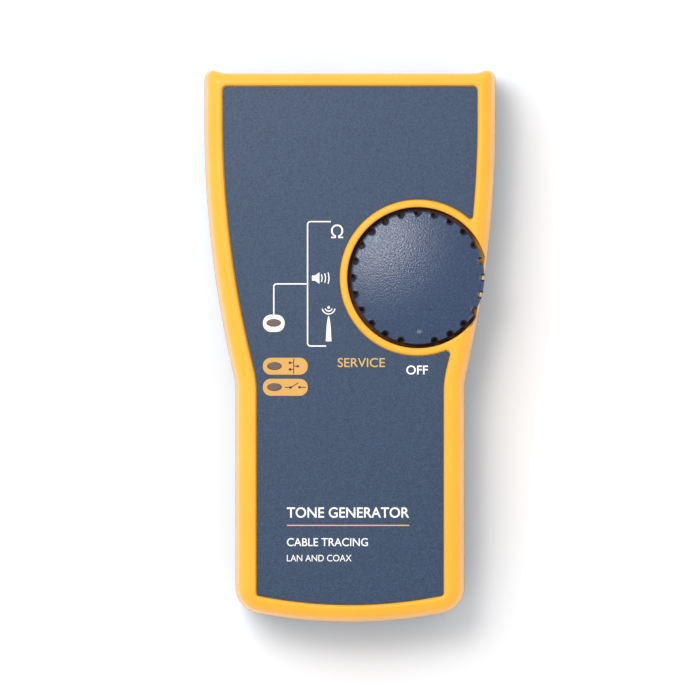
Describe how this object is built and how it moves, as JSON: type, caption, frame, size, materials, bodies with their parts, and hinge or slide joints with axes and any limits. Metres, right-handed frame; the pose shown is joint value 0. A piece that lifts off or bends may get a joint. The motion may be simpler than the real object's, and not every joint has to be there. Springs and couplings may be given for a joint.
{
  "type": "cable tone generator",
  "caption": "Handheld cable tone generator with a fluted thumb dial, indicator lamps, modular jack, coax port and sliding battery door.",
  "frame": {"origin": "on the plane the rubber feet rest on, under the middle of the case's bounding box", "axes": "+Z out of the printed face, +Y towards the connector end, +X to the right as the face is read"},
  "size_m": [0.075, 0.142, 0.034],
  "materials": {
    "case_yellow": "satin moulded plastic",
    "case_dark": "fine-textured moulded plastic",
    "face_overlay": "fine-grained printed face sheet",
    "knob_slate": "fine-grained moulded plastic",
    "end_black": "satin",
    "foot_rubber": "matte",
    "smoked_window": "smoked, glossy",
    "steel": "zinc plated",
    "nickel": "nickel plated",
    "contact_gold": "gold plated",
    "spring_brass": "bright",
    "copper_wire": "enamelled copper winding",
    "ferrite": "ferrite, matte grey",
    "inner_white": "natural plastic",
    "chip_black": "matte",
    "board_green": "solder mask",
    "label_foil": "satin foil label, left blank",
    "sleeve_dark": "shrink sleeve",
    "lead_red": "wire insulation",
    "lead_black": "wire insulation",
    "foam": "open foam"
  },
  "bodies": {
    "case": {"front_shell": "case_yellow", "rear_shell": "case_dark", "faceplate_overlay": "face_overlay", "connector_panel": "end_black", "rating_label": "label_foil", "detent_spring": "steel", "circuit_board": "board_green", "microcontroller": "chip_black", "line_driver_chip": "chip_black", "tone_transformer_core": "ferrite", "tone_transformer_coil": "copper_wire", "crystal": "steel", "capacitor_1": "sleeve_dark", "capacitor_2": "sleeve_dark", "jack_housing": "end_black", "coax_barrel": "nickel", "coax_nut": "nickel", "coax_insulator": "inner_white", "coax_contact": "spring_brass", "battery_case": "sleeve_dark", "battery_terminal_positive": "nickel", "battery_terminal_negative": "nickel", "battery_snap": "chip_black", "lead_positive": "lead_red", "lead_negative": "lead_black", "case_screw_1": "steel", "rubber_foot_1": "foot_rubber", "case_screw_2": "steel", "rubber_foot_2": "foot_rubber", "case_screw_3": "steel", "rubber_foot_3": "foot_rubber", "case_screw_4": "steel", "rubber_foot_4": "foot_rubber", "board_screw_1": "steel", "led_1": "inner_white", "light_pipe_1": "smoked_window", "board_screw_2": "steel", "led_2": "inner_white", "light_pipe_2": "smoked_window", "board_screw_3": "steel", "led_3": "inner_white", "light_pipe_3": "smoked_window"},
    "dial": {"dial_knob": "knob_slate", "dial_washer": "steel", "dial_rotor": "inner_white", "rotor_screw": "steel", "wiper_contact": "spring_brass"},
    "battery_door": {"battery_door": "case_dark", "door_pad": "foam"},
    "jack_contacts": {"jack_contact_1": "contact_gold", "jack_contact_2": "contact_gold", "jack_contact_3": "contact_gold", "jack_contact_4": "contact_gold", "jack_contact_5": "contact_gold", "jack_contact_6": "contact_gold", "jack_contact_7": "contact_gold", "jack_contact_8": "contact_gold"}
  },
  "joints": [
    {"name": "dial_turn", "type": "hinge", "parent": "case", "child": "dial", "pos_m": [0.0174, 0.0177, 0.026], "axis": [0, 0, 1], "range_deg": [-120, 0], "deforming": ["detent_spring"]},
    {"name": "door_slide", "type": "slide", "parent": "case", "child": "battery_door", "axis": [0, -1, 0], "range_m": [0, 0.058]},
    {"name": "jack_contact_flex", "type": "hinge", "parent": "case", "child": "jack_contacts", "pos_m": [-0.013, 0.066, 0.01], "axis": [1, 0, 0], "range_deg": [0, 12], "stiffness_Nm_per_rad": 0.2}
  ]
}
